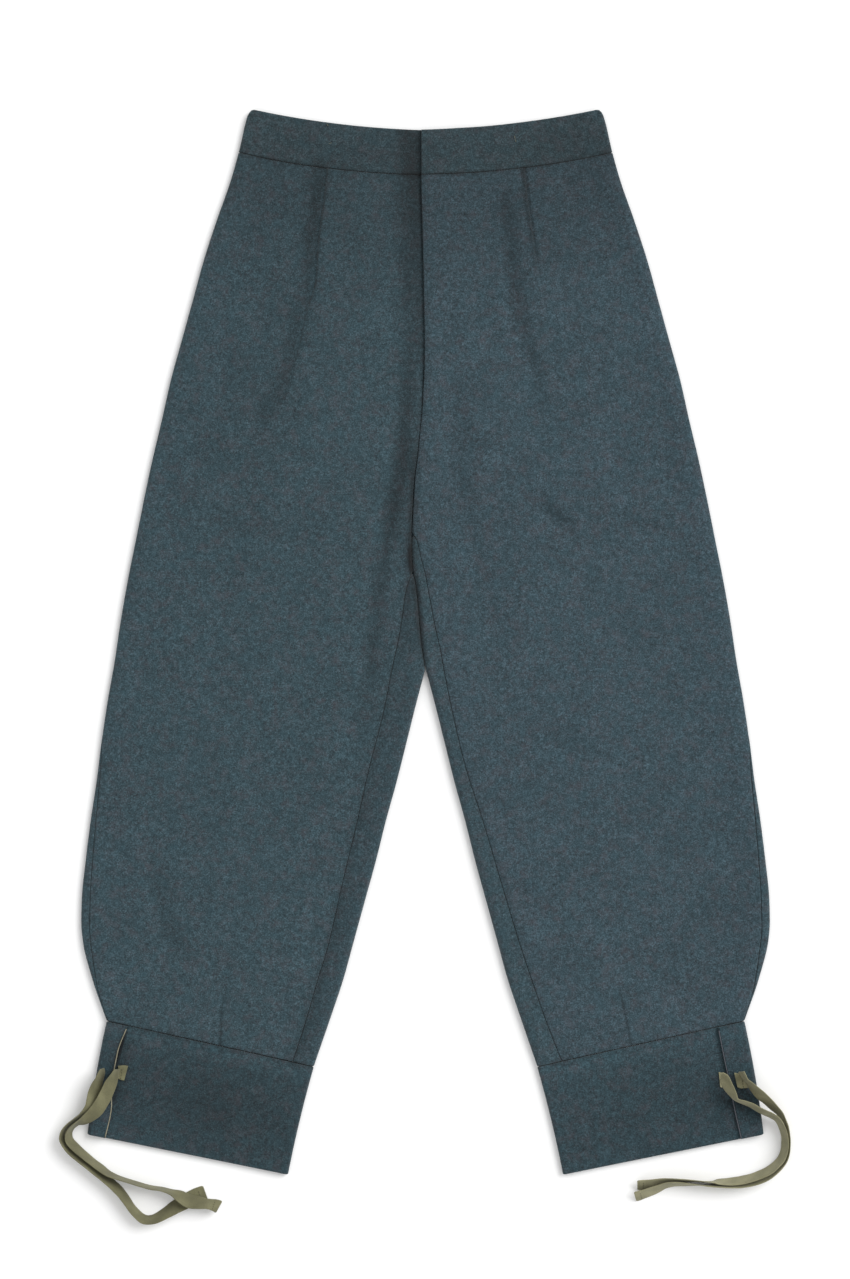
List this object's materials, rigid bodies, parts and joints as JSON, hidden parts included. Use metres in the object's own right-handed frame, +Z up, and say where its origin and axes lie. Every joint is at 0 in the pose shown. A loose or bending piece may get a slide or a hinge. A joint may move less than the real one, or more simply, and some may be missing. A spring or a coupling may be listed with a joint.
{
  "type": "trousers",
  "caption": "Wide wool trousers laid flat, front up, with a high plain waistband, a lapped fly, front pleats, and deep cuffs slit at the outer ankle and closed by tape ties.",
  "frame": {"origin": "on the surface the trousers lie on, below the middle of the cloth pieces, without the ties", "axes": "+Y towards the waist, +Z up from the surface through the back to the front, +X to the viewer's right, which is the wearer's left"},
  "size_m": [0.7306, 1.1136, 0.0246],
  "materials": {
    "wool": "matt felted wool, dark blue grey",
    "tape": "matt cotton twill tape, khaki"
  },
  "bodies": {
    "root": {"back_right": "wool", "back_left": "wool", "front_right": "wool", "front_left": "wool", "waistband_back": "wool", "waistband_front_right": "wool", "waistband_front_left": "wool", "cuff_right": "wool", "cuff_left": "wool", "tie_right_front": "tape", "tie_right_back": "tape", "tie_left_front": "tape", "tie_left_back": "tape"}
  },
  "joints": []
}
